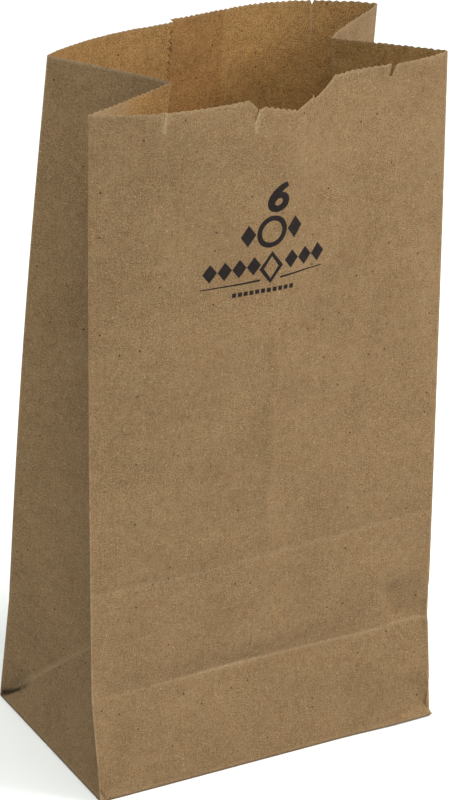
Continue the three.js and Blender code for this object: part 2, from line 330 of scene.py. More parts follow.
def slit(at, width, depth):
    """A straight cut: a narrow V."""
    return np.array([(at - width / 2, 0), (at, depth), (at + width / 2, 0)])


RIGHT_TEAR = np.array([(125.2, 0), (125.4, 4.1), (125.9, 5.1), (126.6, 4.6), (127.1, 0)])
CUTS = {
    FRONT_PANEL: [slit(SLIT_AT, 0.3, 6.0), notch_points(), RIGHT_TEAR],
    BACK_PANEL: [slit(BACK_SLIT_AT, 1.5, 1.9)],
}


def cut_depth(s):
    """How far the mouth's cut edge lies below the full height of the sheet, for places along
    the flat sheet: straight lines between the roots and the tips of uneven teeth, replaced by
    a broken line inside each cut. The teeth are small between the seam and the back left fold,
    and the edge rises along the back panel to the sheet's inner end."""
    at = np.mod(s, ROUND)
    panel = np.clip(np.searchsorted(FOLD_AT, at, side="right") - 1, 0, 5)
    local = at - FOLD_AT[panel]
    place = TOOTH_AT[panel] + local / PANELS[panel] * TEETH[panel]
    tooth = np.floor(place)
    root = TOOTH_DEPTH * (0.7 + 0.7 * uneven(np.mod(np.round(place), TOOTH_AT[-1]), 1))
    tip = 0.3 * TOOTH_DEPTH * uneven(tooth, 5)
    small = 0.6 * ramp(at, FOLD_AT[4] - 60, FOLD_AT[4] - 45) * (at < FOLD_AT[5])
    bite = (root - tip) * (1 - small)
    depth = tip + bite * np.abs(1 - 2 * (place - tooth))
    for number, cuts in CUTS.items():
        for cut in cuts:
            inside = (panel == number) & (local >= cut[0, 0]) & (local <= cut[-1, 0])
            depth[inside] = np.interp(local[inside], cut[:, 0], cut[:, 1])
    late = s - (BACK_AT + ROUND)
    return depth - SEAM_RISE * np.clip(late / (WIDTH - SEAM_INSIDE), 0, 1)


def slant(s, v):
    """The tear at the notch and the one near the front right fold run down to the left: the
    paper round each leans over by a smooth step, which dies out again below it."""
    at = np.mod(s, ROUND)
    notch = 1.5 * bell(at - NOTCH_TEAR_AT, 2.4) * fade(v, 272, 277) * ramp(v, 260, 271)
    right = 1.3 * bell(at - RIGHT_TEAR_AT - 0.3, 2.4) * fade(v, 277, 280) * ramp(v, 267, 275)
    return -notch - right


# ---- The tube of the bag -----------------------------------------------------

SEAM_PITCH = 2.7  # of the teeth along the cut edge inside the back panel
SEAM_TEETH = 93  # of them below the toothed band of the mouth
FINE_FROM = SEAM_TEETH * SEAM_PITCH  # from here up the columns are twice as many
FINE_ROWS = 22  # two for each tooth of the cut edge inside
CORNER_CELLS = np.array([1.0, 1.5, 2.0, 3.2, 151.1])  # extra columns by the front's corners
TUCK_CELLS = HALF / HALF_TEETH * np.arange(1, 17) / 4  # extra columns and rows by the tuck
CLOSEST = 0.12  # columns aren't nearer than this to each other


def panel_columns(width, teeth, cuts):
    """Places of the coarse columns across a panel: tooth roots, both sides of every fold,
    and the points of each cut."""
    places = np.linspace(0, width, teeth + 1)
    for cut in cuts:
        places = places[(places < cut[0, 0] - 0.3) | (places > cut[-1, 0] + 0.3)]
        places = np.concatenate([places, cut[:, 0]])
    return np.unique(np.round([*places, 0.5, width - 0.5], 4))


def strip_columns():
    """Coarse columns of the whole sheet, from the outer cut end round to the inner one."""
    once = np.concatenate(
        [FOLD_AT[i] + panel_columns(PANELS[i], TEETH[i], CUTS.get(i, [])) for i in range(6)]
    )
    once = np.concatenate([once, FOLD_AT[4] + TUCK_CELLS, CORNER_CELLS])
    every = np.concatenate([once, once + ROUND, [SHEET_FROM, SHEET_TO]])
    every = np.unique(np.round(every, 4))
    every = every[(every >= SHEET_FROM) & (every <= SHEET_TO)]
    keep = np.concatenate([[True], np.diff(every) > CLOSEST])
    keep[-1] = True
    return every[keep]


def strip_rows():
    """Heights of the coarse rows: one for each tooth of the seam and two of them near the top,
    with more by the base, the tuck and both creases. Then heights of the fine rows above."""
    under = [-1.6, -1.1, -0.7, -0.35, 0, 0.32]
    below = CREASE * np.arange(1, HALF_TEETH + 1) / HALF_TEETH
    near_crease = CREASE + np.array([-1.1, -0.45, 0.45, 1.1])
    upper = SEAM_PITCH * np.arange(74, SEAM_TEETH + 0.1, 0.5)
    middle = np.arange(CREASE + 2.6, upper[0] - 1.8, SEAM_PITCH)
    second = SECOND_CREASE + 0.6
    near_second = second + np.array([-0.8, 0, 0.8])
    middle = middle[np.abs(middle - second) > 1.4]
    coarse = np.unique(
        np.concatenate([under, TUCK_CELLS, below, near_crease, middle, near_second, upper])
    )
    fine = np.linspace(FINE_FROM, HEIGHT, FINE_ROWS + 1)[1:]
    return coarse, fine


def grid_triangles(first, rows, columns, leaning):
    """Two triangles for each cell of a grid of points numbered row by row. Where leaning is
    true for a cell, the cell is parted from its lower left corner to its upper right one."""
    row, column = np.mgrid[0 : rows - 1, 0 : columns - 1]
    a = first + row * columns + column
    b, c, d = a + 1, a + columns + 1, a + columns
    lean = np.stack([a, b, c, a, c, d], -1)
    other = np.stack([a, b, d, b, c, d], -1)
    return np.where(leaning[..., None], lean, other).reshape(-1, 3)


def seam_tooth(height):
    """Number of the tooth at a height along the inner cut edge, and how far out it stands
    there, from nought at its root to one at its tip."""
    last = SEAM_TEETH + FINE_ROWS / 2
    count = np.interp(height, [0, FINE_FROM, HEIGHT], [0, SEAM_TEETH, last])
    return np.round(count), 1 - np.abs(2 * np.mod(count + 0.5, 1) - 1)


def serration(s, height):
    """The inner end was cut with a toothed knife: its edge steps in and out with height."""
    number, out = seam_tooth(height)
    return (1.3 + 0.9 * uneven(number, 2)) * (out - 0.5) * bell(SHEET_TO - s, 1.5)


def seam_offset(s, v):
    """How far each end of the sheet lies off the middle surface where the two ends overlap:
    the inner end passes inside the outer one, and the teeth of its edge stand off the glue."""
    inner_from = SHEET_FROM + ROUND
    inside = -0.12 * ramp(s, inner_from - 9, inner_from - 1)
    number, out = seam_tooth(v)
    teeth = 0.7 * out * uneven(number, 9) * bell(SHEET_TO - s, 1.1) * fade(v, 271, 276)
    outside = 0.05 * bell(s - SHEET_FROM, 1.2)
    return inside - np.where(s > inner_from, teeth, 0) + outside


def sheet_faces(s, v):
    """Outer and inner face of the paper, half its thickness to each side of its middle, and
    the unit normal of the plain panels there."""
    leaning = s + slant(s, v)
    middle = soft_sheet(leaning, v)
    normal = outward_of(leaning, v)
    off = relief(s, v) + lip(s, v) + seam_offset(s, v)
    outer = middle + normal * (off + PAPER / 2)[:, None]
    inner = middle + normal * (off - PAPER / 2)[:, None]
    return outer, inner, normal


def worn(s, v, depth):
    """How rubbed the paper is, from nought to one: along the folds, the creases, the base, the
    cut edges, the curled lips of the cuts and the seam. The front left fold is less rubbed high
    up. Below the crease a gusset is folded along its diagonals, not along its middle."""
    at = np.mod(s, ROUND)
    outer_folds = np.abs(at[:, None] - FOLD_AT[[0, 1, 3, 4, 6]]).min(1)
    middle_folds = np.abs(at[:, None] - FOLD_AT[[2, 5]]).min(1)
    folds = bell(outer_folds, 0.55) * (0.6 + 0.4 * np.sin(v * 0.9) * np.sin(v * 0.23 + 1))
    left_front = bell(np.minimum(at, ROUND - at), 3)
    folds = folds * (1 - 0.8 * left_front * ramp(v, 120, 180))
    middles = 0.6 * bell(middle_folds, 0.55) * (v > CREASE)
    gusset = (outer_folds < HALF) & (middle_folds < HALF) & (v < CREASE)
    diagonals = 0.3 * gusset * bell((v - outer_folds) / math.sqrt(2), 0.8)
    wide = middle_folds > HALF
    uneven_crease = 0.3 + 0.5 * ramp(at, 14, 40) + 0.7 * bell(at - 62, 12)
    crease = 0.4 * uneven_crease * wide * bell(v - CREASE + 0.4, 0.7)
    across = np.where(at < WIDTH, at, at - BACK_AT)
    second = 0.2 * wide * bell(above_second(across, v), 0.7)
    base = 0.2 * bell(v - 1.2, 0.7)
    left_back = (at > FOLD_AT[4]) & (at < FOLD_AT[5])
    edge = (0.45 + 0.2 * left_back) * bell(HEIGHT - depth - v, 0.8)
    lips = 1.3 * bell(at - SLIT_AT - 0.4, 0.6) * ramp(v, 271, 275)
    lips += 1.2 * bell(at - NOTCH_TEAR_AT - 0.5, 0.5) * ramp(v, 266, 271)
    lips += 0.7 * bell(at - RIGHT_TEAR_AT - 0.4, 0.5) * ramp(v, 275, 277)
    lips += 0.5 * bell(at - BACK_AT - BACK_SLIT_AT, 0.4) * ramp(v, 262, 268)
    seam = 0.2 * bell(s - SHEET_FROM, 0.6)
    parts = [folds, middles, diagonals, crease, second, base, edge, lips, seam]
    return np.clip(np.maximum.reduce(parts), 0, 1)


def painted_light_corner(s, v):
    """Painted light: inside, the paper is paler high up beside the front left fold, where light
    comes through the thin wall.
    """
    return ramp(np.mod(s, ROUND), ROUND - 32, ROUND - 8) * ramp(v, 262, 276)


def painted_shade_mask(s, v, height):
    """Painted shade where almost no light gets in: the tuck by the base, the teeth that stand off
    the seam inside, a short split in each lower corner of the front, and the line where the
    paper turns in under the base."""
    number, out = seam_tooth(height)
    seam = out**2 * (0.2 + 0.6 * uneven(number, 9)) * bell(SHEET_TO - s, 0.4)
    seam = seam * (height > CREASE) * fade(height, 273, 277)
    at = np.mod(s, ROUND)
    left = 0.7 * bell(at - 0.5 - 0.4 * (6 - v), 0.4) * ramp(v, 0.4, 1.2) * fade(v, 5, 7)
    right = 0.8 * bell(at - 151.2, 1.0) * bell(v - 0.8, 0.5)
    base = 0.55 * bell(v - 0.1, 0.45)
    return np.clip(np.maximum.reduce([tuck_shade(s, v), seam, left, right, base]), 0, 1)


def put_mesh(name, points, triangles, values=None, places=None):
    """Puts points in millimetres and triangles into a mesh object at the origin, with one
    number per point for each attribute and, if given, a place on the flat sheet."""
    mesh = bpy.data.meshes.new(name)
    mesh.vertices.add(len(points))
    mesh.vertices.foreach_set("co", (points * MM).astype(np.float32).ravel())
    triangles = np.asarray(triangles, np.int32)
    mesh.loops.add(triangles.size)
    mesh.loops.foreach_set("vertex_index", triangles.ravel())
    mesh.polygons.add(len(triangles))
    mesh.polygons.foreach_set("loop_start", np.arange(0, triangles.size, 3, dtype=np.int32))
    mesh.update(calc_edges=True)
    mesh.validate()
    mesh.polygons.foreach_set("use_smooth", np.ones(len(mesh.polygons), bool))
    for key, value in (values or {}).items():
        attribute = mesh.attributes.new(key, "FLOAT", "POINT")
        attribute.data.foreach_set("value", value.astype(np.float32))
    if places is not None:
        layer = mesh.uv_layers.new(name="sheet")
        corners = np.empty(len(mesh.loops), np.int32)
        mesh.loops.foreach_get("vertex_index", corners)
        layer.data.foreach_set("uv", (places[corners] * MM).astype(np.float32).ravel())
    mesh.set_sharp_from_angle(angle=math.radians(55))
    piece = bpy.data.objects.new(name, mesh)
    bpy.context.scene.collection.objects.link(piece)
    return piece


def rim(first, second):
    """Triangles between two lines of point numbers, for the cut edge of a thin wall."""
    a, b, c, d = first[:-1], first[1:], second[1:], second[:-1]
    return np.concatenate([np.stack([a, b, c], 1), np.stack([a, c, d], 1)])


def face_triangles(coarse, rows, high_rows):
    """One face of the sheet, and the numbers of the points along its four edges. A gusset's
    cells are parted the way its diagonal fold runs, and the row between the coarse and the
    fine columns has three triangles for each coarse cell."""
    columns = len(coarse)
    many = 2 * columns - 1
    fine_start = rows * columns
    panel = np.searchsorted(FOLD_AT, np.mod((coarse[:-1] + coarse[1:]) / 2, ROUND)) - 1
    leaning = np.tile(np.isin(panel, (0, 1, 3, 4)), (rows - 1, 1))
    low = grid_triangles(0, rows, columns, leaning)
    all_lean = np.ones((high_rows - 1, many - 1), bool)
    high = grid_triangles(fine_start, high_rows, many, all_lean)
    a = (rows - 1) * columns + np.arange(columns - 1)
    f = fine_start + 2 * np.arange(columns - 1)
    between = [(a, a + 1, f + 1), (a, f + 1, f), (a + 1, f + 2, f + 1)]
    between = [np.stack(corners, 1) for corners in between]
    low_starts = np.arange(rows) * columns
    high_starts = fine_start + np.arange(high_rows) * many
    top = high_starts[-1] + np.arange(many)
    bottom = np.arange(columns)
    outer_end = np.concatenate([low_starts, high_starts])
    inner_end = np.concatenate([low_starts + columns - 1, high_starts + many - 1])
    return np.concatenate([low, *between, high]), (top, bottom, outer_end, inner_end)


def make_tube():
    """The sheet as a closed thin solid: coarse rows of columns up to the toothed band, twice
    as many columns in the band, the same for both faces, and rims along all four edges. The
    top row lies lower by the depth of the cut edge, and the band's other rows by a share of
    it that grows with height."""
    coarse = strip_columns()
    fine = np.empty(2 * len(coarse) - 1)
    fine[::2] = coarse
    fine[1::2] = (coarse[:-1] + coarse[1:]) / 2
    low_rows, high_rows = strip_rows()
    s_low, v_low = [x.ravel() for x in np.meshgrid(coarse, low_rows)]
    s_high, v_high = [x.ravel() for x in np.meshgrid(fine, high_rows)]
    s = np.concatenate([s_low, s_high])
    heights = np.concatenate([v_low, v_high])

    depth = cut_depth(s)
    share = np.clip((heights - FINE_FROM) / (HEIGHT - FINE_FROM), 0, 1) ** 1.5
    v = heights - share * depth
    rubbed = worn(s, v, depth)
    # Painted shade, near black, in the tuck's slot, under the seam's standing teeth, in the
    # front's lower corners and along the base line.
    painted_shade_amount = painted_shade_mask(s, v, heights)
    overlap = SEAM_OUTSIDE - SEAM_INSIDE
    double = (s > SHEET_TO - overlap) | (s < SHEET_FROM + overlap)
    s = s + serration(s, heights)
    outer, inner, _ = sheet_faces(s, v)

    count = len(s)
    face, edges = face_triangles(coarse, len(low_rows), len(high_rows))
    top, bottom, outer_end, inner_end = edges
    rims = [
        rim(top, top + count),
        rim(bottom + count, bottom),
        rim(outer_end, outer_end + count),
        rim(inner_end + count, inner_end),
    ]
    values = {
        # Wear on both faces, and on the inner face also painted light: the paler corner by the
        # front left fold.
        "worn": np.concatenate([rubbed, np.maximum(rubbed, painted_light_corner(s, v))]),
        "inside": np.repeat([0.0, 1.0], count),
        # Where two layers lie; the material paints the inner face browner there as painted shade.
        "double": np.tile(double.astype(float), 2),
        "painted_shade": np.tile(painted_shade_amount, 2),
    }
    return put_mesh(
        "bag_sheet",
        np.concatenate([outer, inner]),
        np.concatenate([face, face[:, ::-1] + count, *rims]),
        values,
        np.tile(np.stack([s, v], 1), (2, 1)),
    )


# ---- Thin plates and films on a grid -----------------------------------------


def closed_grid(lower, upper, wrapped=False):
    """Points and triangles of a thin solid between two grids of points of the same shape. Its
    faces are the two grids and its rims join their edges; a wrapped grid meets itself along
    its rows, so it has rims only at its first and last row. If its volume, which is a sixth of
    the sum of its corners' triple products, comes out negative, its triangles are turned."""
    rows, columns = upper.shape[:2]
    turn = columns if wrapped else columns - 1
    row, column = np.mgrid[0 : rows - 1, 0:turn]
    a = row * columns + column
    b = row * columns + (column + 1) % columns
    c, d = b + columns, a + columns
    face = np.stack([a, b, c, a, c, d], -1).reshape(-1, 3)
    count = rows * columns
    across = np.arange(columns + 1) % columns if wrapped else np.arange(columns)
    last = (rows - 1) * columns + across
    rims = [rim(last, last + count), rim(across + count, across)]
    if not wrapped:
        left = np.arange(rows) * columns
        right = left + columns - 1
        rims += [rim(left, left + count), rim(right + count, right)]
    points = np.concatenate([upper.reshape(-1, 3), lower.reshape(-1, 3)])
    triangles = np.concatenate([face, face[:, ::-1] + count, *rims])
    first, second, third = np.moveaxis((points - points[0])[triangles], 1, 0)
    inside_out = np.sum(first * np.cross(second, third)) < 0
    return points, triangles[:, ::-1] if inside_out else triangles


def put_parts(name, parts, values=None, places=None):
    """Puts several closed grids into one mesh object."""
    points = np.concatenate([p for p, _ in parts])
    starts = np.cumsum([0] + [len(p) for p, _ in parts[:-1]])
    triangles = np.concatenate([t + n for (_, t), n in zip(parts, starts)])
    return put_mesh(name, points, triangles, values, places)


# ---- The bottom flaps --------------------------------------------------------

FLAP_INSET = 0.35  # of a flap's fold from the wall's outer face
FLAPS_ON_SHEET = [500, 100]  # where the paper's pattern is read for the flaps


def flap_plate(length, fold_at, turned, narrowing, level, hand, free_lift):
    """One flap, flat in the base: t runs along its fold, fold_at from the middle, and u from
    the fold to its free edge. Its ends come in by narrowing times u, its free edge is toothed,
    and it lifts by free_lift times the square of u. A turned flap folds in from a side."""
    t = np.linspace(-1, 1, 2 * round(length / 5) + 1)
    u = np.concatenate([[0, 0.01], np.linspace(0.06, 1, 18)])
    tt, uu = np.meshgrid(t, u)
    tooth = TOOTH_DEPTH * (np.arange(len(t)) % 2)
    along = tt * (length / 2 - narrowing * uu * FLAP)
    away = fold_at - (uu * FLAP - uu**8 * tooth)
    flat = np.stack([hand * along, hand * away], -1)
    if turned:
        flat = np.stack([hand * away, -hand * along], -1)
    z = level + free_lift * uu**2
    upper = np.concatenate([flat, (z + PAPER / 2)[..., None]], -1)
    lower = np.concatenate([flat, (z - PAPER / 2)[..., None]], -1)
    return lower, upper


def make_flaps():
    """Back flap lowest, front flap on it, and two end flaps on the inside of the base."""
    wide = (WIDTH - 2 * FLAP_INSET, FRONT - FLAP_INSET, False, 1)
    end = (DEPTH - 2 * FLAP_INSET, SIDE - FLAP_INSET, True, 0)
    plates = [
        flap_plate(*wide, 0.5 * PAPER, 1, 0),
        flap_plate(*wide, 1.7 * PAPER, -1, 0),
        flap_plate(*end, 4.4 * PAPER, 1, 0.5),
        flap_plate(*end, 4.4 * PAPER, -1, 0.8),
    ]
    parts = [closed_grid(lower, upper) for lower, upper in plates]
    points = np.concatenate([p for p, _ in parts])
    free = np.concatenate(
        [np.tile(np.repeat(np.linspace(0, 1, up.shape[0]), up.shape[1]), 2) for _, up in plates]
    )
    none = np.zeros(len(points))
    values = {"worn": 0.5 * free**12, "inside": none, "double": none, "painted_shade": none}
    return put_parts("bottom_flaps", parts, values, points[:, :2] + FLAPS_ON_SHEET)


# ---- The print ---------------------------------------------------------------

INK_ABOVE = 0.055  # of the paper's outer face
INK_BELOW = 0.02


def film(places):
    """A grid of places on the front panel, (distance from its left fold, height), made into
    a thin film of ink on the paper's outer face."""
    s, v = places[..., 0].ravel(), places[..., 1].ravel()
    outer, _, normal = sheet_faces(s, v)
    upper = outer + INK_ABOVE * normal
    lower = outer - INK_BELOW * normal
    shape = (*places.shape[:2], 3)
    return lower.reshape(shape), upper.reshape(shape)


def bar(start, end, tall, taper=0.0):
    """A bar between two places. A positive taper thins its last end, a negative one its first."""
    (s0, v0), (s1, v1) = start, end
    along, up = np.meshgrid(np.linspace(0, 1, max(3, round(s1 - s0) + 1)), [-0.5, 0, 0.5])
    thin = 1 - abs(taper) * (along if taper > 0 else 1 - along)
    return np.stack([s0 + (s1 - s0) * along, v0 + (v1 - v0) * along + up * tall * thin], -1)


def diamond(at, height, wide, tall):
    """A square on its corner, with the two given diagonals."""
    a, b = np.meshgrid(np.linspace(-1, 1, 7), np.linspace(-1, 1, 7))
    return np.stack([at + wide * (a - b) / 4, height + tall * (a + b) / 4], -1)


def ring(at, height, radius, thick):
    """A plain ring: circles about one centre, from the outer edge to the inner one."""
    corners = 56
    angle = 2 * np.pi * np.arange(corners) / corners
    r, angle = np.meshgrid(radius - thick * np.array([0, 0.5, 1]), angle, indexing="ij")
    return np.stack([at + r * np.cos(angle), height + r * np.sin(angle)], -1)


def smooth_path(points, count):
    """A curve through every point, by cubic Hermite pieces with slopes from the neighbours."""
    p = np.asarray(points, float)
    slope = np.gradient(p, axis=0)
    t = np.linspace(0, len(p) - 1, count)
    i = np.minimum(t.astype(int), len(p) - 2)
    f = (t - i)[:, None]
    a, b, m, n = p[i], p[i + 1], slope[i], slope[i + 1]
    return (
        a * (1 - 3 * f**2 + 2 * f**3)
        + b * (3 * f**2 - 2 * f**3)
        + m * (f - 2 * f**2 + f**3)
        + n * (f**3 - f**2)
    )


def stroke(points, widths, count):
    """A stroke of varying width carried along a smooth path, ends cut square."""
    path = smooth_path(points, count)
    wide = smooth_path(np.array(widths, float)[:, None], count)[:, 0]
    along = np.gradient(path, axis=0)
    along /= np.linalg.norm(along, axis=1)[:, None]
    side = np.stack([-along[:, 1], along[:, 0]], 1)
    across = np.linspace(0.5, -0.5, 5)[:, None, None]
    return path + across * (wide[:, None] * side)


def outline(corners, at, height, wide, tall, thick):
    """An open shape with straight sides: its corners, from a square two across, are spread to
    the outer size, and again with the stroke's thickness taken off."""
    across = np.linspace(0, 1, 7)[:-1, None]
    sides = np.roll(corners, -1, axis=0) - corners
    path = np.concatenate([corner + side * across for corner, side in zip(corners, sides)])
    size = np.array([wide, tall]) / 2 - np.array([thick, thick / 2, 0])[:, None]
    return np.array([at, height]) + size[:, None, :] * path


def make_six():
    """The trade number: one stroke that comes down from the top right and closes into a bowl."""
    path = [
        (76.3, 245.7), (73.8, 244.6), (71.1, 242.4), (69.6, 239.9), (69.9, 237.7), (72.2, 236.6),
        (74.9, 237.7), (75.6, 239.9), (74.3, 241.6), (72.2, 241.5), (70.6, 240.2),
    ]  # fmt: skip
    widths = [2.0, 2.6, 3.0, 3.1, 2.9, 2.5, 2.8, 2.8, 2.4, 2.0, 1.4]
    return stroke(path, widths, 72)


def make_print():
    """Generic marks in the print's four places: the trade number, a ring with diamonds, a
    band of diamonds either side of an open one, and two rules over a row of dashes."""
    pieces = {}
    pieces["printed_number"] = [closed_grid(*film(make_six()))]
    mark = [closed_grid(*film(ring(70.4, 227.9, 6.3, 2.0)), wrapped=True)]
    mark += [closed_grid(*film(diamond(at, 227.9, 6.6, 8.6))) for at in (60.4, 80.4)]
    pieces["printed_mark"] = mark

    row = [45.0 + 6.2 * i for i in range(4)] + [80.0 + 6.2 * i for i in range(3)]
    band = [closed_grid(*film(diamond(at, 216.6 - 0.02 * at, 6.0, 7.4))) for at in row]
    corners = np.array([(0, -1), (1, 0), (0, 1), (-1, 0)])
    open_diamond = outline(corners, 71.2, 213.4, 10.4, 13.0, 2.0)
    band.append(closed_grid(*film(open_diamond), wrapped=True))
    pieces["printed_band"] = band

    bars = [
        bar((41.4, 209.7), (66.6, 209.0), 0.8, -0.6),
        bar((75.6, 208.5), (94.7, 209.1), 0.8, 0.6),
    ]
    dash, pitch, slope = 1.7, 2.52, 0.055
    for number in range(11):
        at, height = 54.8 + pitch * number, 205.2 - slope * pitch * number
        bars.append(bar((at, height), (at + dash, height - 0.09), dash))
    pieces["printed_rules"] = [closed_grid(*film(places)) for places in bars]
    return [put_parts(name, parts) for name, parts in pieces.items()]


# ---- Materials ---------------------------------------------------------------

# Linear colours. The paper's mottle runs from a dark end to a light one on each face.
OUTER_DARK = (0.100, 0.0565, 0.0215, 1)
OUTER_LIGHT = (0.258, 0.168, 0.087, 1)
INNER_DARK = (0.122, 0.051, 0.009, 1)
INNER_LIGHT = (0.445, 0.262, 0.101, 1)
# These multiply it.
# Painted shade: the inner face is browner where two layers lie, since less light comes through
# them.
PAINTED_TWO_LAYER_SHADE = (0.80, 0.68, 0.62, 1)
# Painted shade: the inner face is browner deep inside the bag.
PAINTED_SHADE_DEEP_INSIDE = (0.98, 0.90, 0.76, 1)
WARMER = (1.03, 0.99, 0.96, 1)
COOLER = (0.97, 1.01, 1.01, 1)
# These lie over it.
DARK_FLECK = (0.060, 0.036, 0.018, 1)
BOLD_FLECK = (0.034, 0.017, 0.007, 1)
PALE_FLECK = (0.42, 0.32, 0.20, 1)
# Rubbed paper, and painted light in the pale corner inside by the front left fold.
RUBBED_AND_PAINTED_LIGHT = (0.37, 0.272, 0.165, 1)
# Painted shade, near black, where almost no light gets in.
PAINTED_SHADE_COLOUR = (0.018, 0.009, 0.003, 1)

INK_DARK = (0.005, 0.004, 0.004, 1)
INK_LIGHT = (0.020, 0.014, 0.013, 1)


class Nodes:
    """A material's node tree, written one line a node. Pattern scales count per metre."""

    def __init__(self, name):
        self.material = bpy.data.materials.new(name)
        self.material.use_nodes = True
        self.tree = self.material.node_tree
        self.shader = self.tree.nodes["Principled BSDF"]

    def set(self, socket, value):
        """Links a socket to a node's output, or gives it a constant."""
        if isinstance(value, bpy.types.NodeSocket):
            self.tree.links.new(value, socket)
        else:
            socket.default_value = value

    def add(self, kind, inputs=None, **options):
        """A new node, with its inputs linked or set and its options chosen."""
        node = self.tree.nodes.new(kind)
        for key, value in options.items():
            setattr(node, key, value)
        for key, value in (inputs or {}).items():
            self.set(node.inputs[key], value)
        return node

    def math(self, operation, a, b, clamp=False):
        node = self.add("ShaderNodeMath", {0: a, 1: b}, operation=operation, use_clamp=clamp)
        return node.outputs[0]

    def read(self, name):
        """One of the numbers that the mesh carries at its points."""
        return self.add("ShaderNodeAttribute", attribute_name=name).outputs["Fac"]

    def stretch(self, vector, scale, turn=0.0):
        """Places turned about the third axis and scaled, for a pattern with a direction."""
        inputs = {"Vector": vector, "Scale": scale, "Rotation": (0, 0, turn)}
        return self.add("ShaderNodeMapping", inputs).outputs[0]

    def noise(self, vector, scale, detail=2.0, rough=0.5):
        inputs = {"Vector": vector, "Scale": scale, "Detail": detail, "Roughness": rough}
        return self.add("ShaderNodeTexNoise", inputs).outputs[0]

    def spots(self, vector, scale, radius, share):
        """One where a cell's middle lies nearer than radius, in that share of the cells."""
        inputs = {"Vector": vector, "Scale": scale}
        cell = self.add("ShaderNodeTexVoronoi", inputs, voronoi_dimensions="2D")
        near = self.span(cell.outputs["Distance"], radius, 0.5 * radius, 0, 1)
        split = self.add("ShaderNodeSeparateColor", {"Color": cell.outputs["Color"]})
        chosen = self.math("LESS_THAN", split.outputs[0], share)
        return self.math("MULTIPLY", near, chosen)

    def span(self, value, from_low, from_high, low, high):
        """Carries one range over to another in a straight line, and stops at its ends."""
        inputs = {0: value, 1: from_low, 2: from_high, 3: low, 4: high}
        return self.add("ShaderNodeMapRange", inputs).outputs[0]

    def mix(self, factor, a, b, blend="MIX"):
        node = self.add("ShaderNodeMix", data_type="RGBA", blend_type=blend)
        self.set(node.inputs[0], factor)
        self.set(node.inputs[6], a)
        self.set(node.inputs[7], b)
        return node.outputs[2]

    def lay(self, colour, mask, strength, over):
        """A colour laid over another one where the mask is one, to a given strength."""
        return self.mix(self.math("MULTIPLY", mask, strength), colour, over)


def make_kraft():
    """Recycled kraft: cloudy pulp with a grain that is coarser in some places, a slight drift
    of hue, dark and pale flecks, rubbed folds, painted light in a pale corner inside, and painted
    shade, near black, in slots and dark lines. Its inner face is more golden, with painted shade
    that makes it browner deep inside and where two layers lie."""
    n = Nodes("kraft_paper")
    flat = n.add("ShaderNodeUVMap", uv_map="sheet").outputs[0]
    cloud = n.noise(flat, 45, 3)
    patch = n.noise(flat, 260, 3, 0.6)
    pulp = n.noise(flat, 950, 3, 0.7)
    grain = n.noise(flat, 2300, 2, 0.6)
    upright = n.noise(n.stretch(flat, (900, 210, 1)), 1, 3, 0.6)
    slanted = n.noise(n.stretch(flat, (420, 1300, 1), 0.7), 1, 2, 0.6)

    coarse = n.span(n.noise(flat, 32, 3, 0.6), 0.38, 0.62, 0.62, 1.22)
    tone = n.math("MULTIPLY", n.span(grain, 0.3, 0.7, -0.54, 0.54), coarse)
    layers = ((cloud, 0.09), (patch, 0.10), (pulp, 0.20), (upright, 0.09), (slanted, 0.09))
    for layer, size in layers:
        tone = n.math("ADD", tone, n.span(layer, 0.3, 0.7, -size, size))
    tone = n.math("ADD", tone, 0.5, clamp=True)
    outer = n.mix(tone, OUTER_DARK, OUTER_LIGHT)
    golden = n.mix(tone, INNER_DARK, INNER_LIGHT)
    # Painted shade: browner where two layers lie, since two layers let less light through than
    # one.
    two_layer_shade = n.math("MULTIPLY", n.read("double"), 0.5)
    golden = n.mix(two_layer_shade, golden, PAINTED_TWO_LAYER_SHADE, "MULTIPLY")
    height = n.add("ShaderNodeSeparateXYZ", {0: flat}).outputs[1]
    # Painted shade: the inner face turns browner below about 225 mm, deep inside the bag, and is
    # plain again by 270 mm.
    golden = n.mix(n.span(height, 0.225, 0.270, 1, 0), golden, PAINTED_SHADE_DEEP_INSIDE, "MULTIPLY")
    colour = n.mix(n.read("inside"), outer, golden)
    hue = n.span(n.noise(flat, 150, 2), 0.35, 0.65, 0, 1)
    colour = n.mix(0.5, colour, n.mix(hue, WARMER, COOLER), "MULTIPLY")

    colour = n.lay(colour, n.spots(flat, 380, 0.17, 0.16), 0.5, DARK_FLECK)
    colour = n.lay(colour, n.spots(flat, 140, 0.075, 0.09), 0.85, BOLD_FLECK)
    colour = n.lay(colour, n.spots(flat, 420, 0.17, 0.10), 0.30, PALE_FLECK)
    # Rubbed paper, and on the inner face painted light in the paler corner by the front left
    # fold.
    rubbed = n.math("MULTIPLY", n.read("worn"), n.span(pulp, 0.35, 0.65, 0.4, 1.0))
    colour = n.lay(colour, rubbed, 0.85, RUBBED_AND_PAINTED_LIGHT)
    # Painted shade where almost no light gets in: the tuck's slot, the seam's teeth, the front's
    # lower corners and the base line.
    colour = n.lay(colour, n.read("painted_shade"), 0.94, PAINTED_SHADE_COLOUR)
    n.set(n.shader.inputs["Base Color"], colour)
    n.set(n.shader.inputs["Roughness"], n.span(pulp, 0.3, 0.7, 0.82, 0.96))
    n.shader.inputs["Specular IOR Level"].default_value = 0.25

    rise = n.math("ADD", n.math("MULTIPLY", grain, 0.7), n.math("MULTIPLY", slanted, 0.3))
    rise = n.math("ADD", rise, pulp)
    bump = n.add("ShaderNodeBump", {"Strength": 0.4, "Distance": 0.00012, "Height": rise})
    n.set(n.shader.inputs["Normal"], bump.outputs[0])
    return n.material


